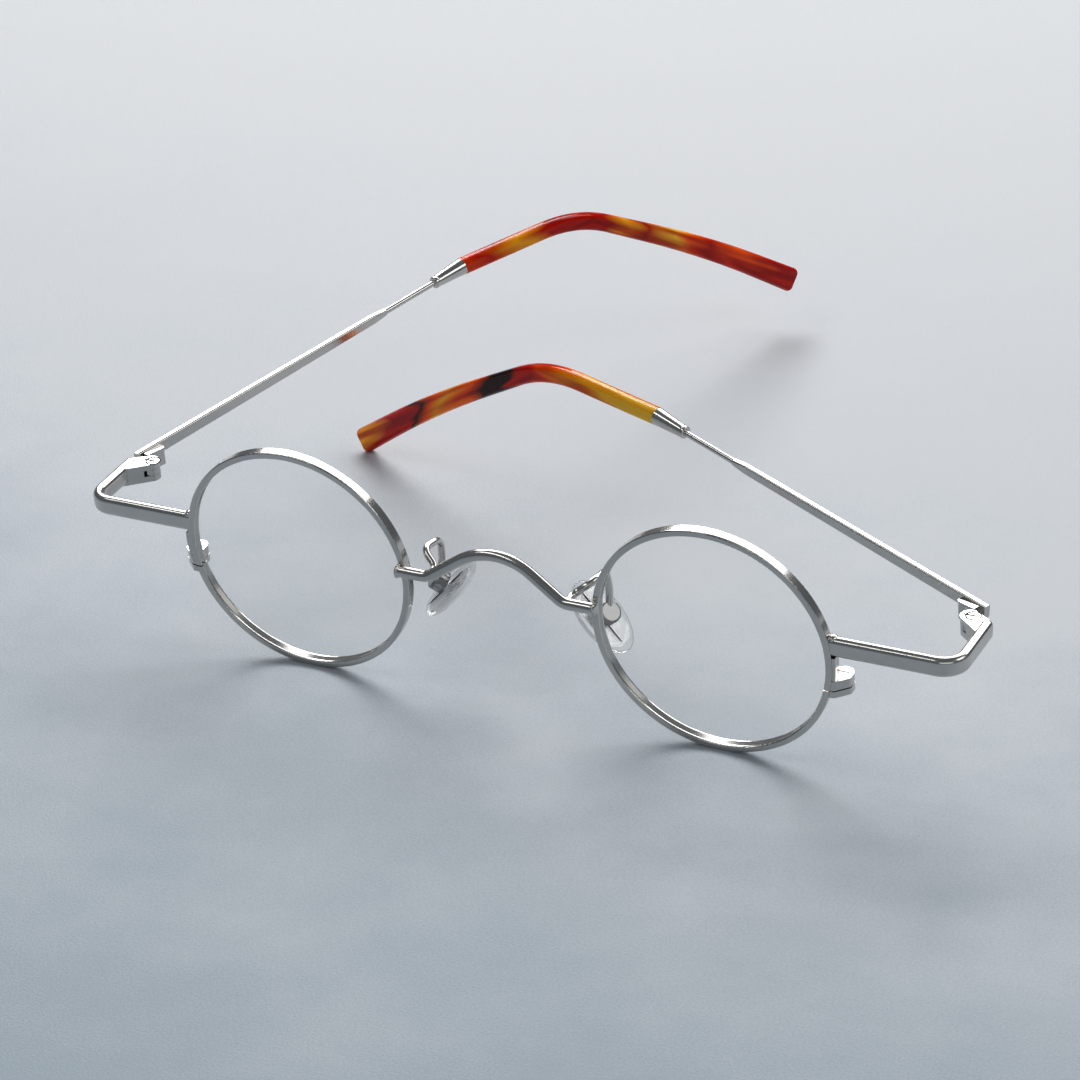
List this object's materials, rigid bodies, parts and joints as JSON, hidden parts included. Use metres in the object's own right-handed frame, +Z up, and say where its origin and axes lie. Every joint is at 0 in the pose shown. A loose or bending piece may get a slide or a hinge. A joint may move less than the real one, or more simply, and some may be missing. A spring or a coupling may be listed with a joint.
{
  "type": "round eyeglasses",
  "caption": "Round full-rim wire eyeglasses with a wave bridge, boxed nose pads, screwed rim locks and folding temples with curved acetate tips.",
  "frame": {"origin": "under the middle of the bounding box, on the level surface that both rims and the left temple tip stand on", "axes": "+Z up, +Y from the lenses back towards the ears, +X to the wearer's left"},
  "size_m": [0.1398, 0.1508, 0.0365],
  "materials": {
    "silver_metal": "satin polished, silver coloured",
    "screw_steel": "bright turned steel",
    "core_steel": "stamped steel plate moulded into the pad",
    "clear_lens": "clear uncoated lens",
    "clear_pad": "clear soft plastic",
    "tortoiseshell": "glossy translucent red and amber tortoiseshell acetate"
  },
  "bodies": {
    "front": {"bridge": "silver_metal", "endpiece_left": "silver_metal", "endpiece_right": "silver_metal", "hinge_front_leaf_left": "silver_metal", "hinge_front_leaf_right": "silver_metal", "hinge_screw_left": "screw_steel", "hinge_screw_right": "screw_steel", "lens_left": "clear_lens", "lens_right": "clear_lens", "lock_lower_left": "silver_metal", "lock_lower_right": "silver_metal", "lock_screw_left": "screw_steel", "lock_screw_right": "screw_steel", "lock_upper_left": "silver_metal", "lock_upper_right": "silver_metal", "pad_arm_left": "silver_metal", "pad_arm_right": "silver_metal", "pad_box_left": "silver_metal", "pad_box_right": "silver_metal", "pad_screw_left": "screw_steel", "pad_screw_right": "screw_steel", "rim_left": "silver_metal", "rim_right": "silver_metal"},
    "temple_left": {"ferrule_left": "silver_metal", "hinge_temple_leaf_left": "silver_metal", "temple_bar_left": "silver_metal", "temple_tip_left": "tortoiseshell"},
    "temple_right": {"ferrule_right": "silver_metal", "hinge_temple_leaf_right": "silver_metal", "temple_bar_right": "silver_metal", "temple_tip_right": "tortoiseshell"},
    "nose_pad_left": {"nose_pad_left": "clear_pad", "pad_core_left": "core_steel"},
    "nose_pad_right": {"nose_pad_right": "clear_pad", "pad_core_right": "core_steel"}
  },
  "joints": [
    {"name": "temple_hinge_left", "type": "hinge", "parent": "front", "child": "temple_left", "pos_m": [0.0661, -0.05906, 0.02246], "axis": [0, -0.0777, 0.997], "range_deg": [-67.6, 22.4]},
    {"name": "temple_hinge_right", "type": "hinge", "parent": "front", "child": "temple_right", "pos_m": [-0.0661, -0.05906, 0.02246], "axis": [0, 0.0777, -0.997], "range_deg": [-21, 29]},
    {"name": "nose_pad_pivot_left", "type": "hinge", "parent": "front", "child": "nose_pad_left", "pos_m": [0.01364, -0.06569, 0.01548], "axis": [0.2939, 0.9169, 0.27], "range_deg": [-8, 8]},
    {"name": "nose_pad_pivot_right", "type": "hinge", "parent": "front", "child": "nose_pad_right", "pos_m": [-0.01364, -0.06569, 0.01548], "axis": [0.2939, -0.9169, -0.27], "range_deg": [-8, 8]}
  ]
}
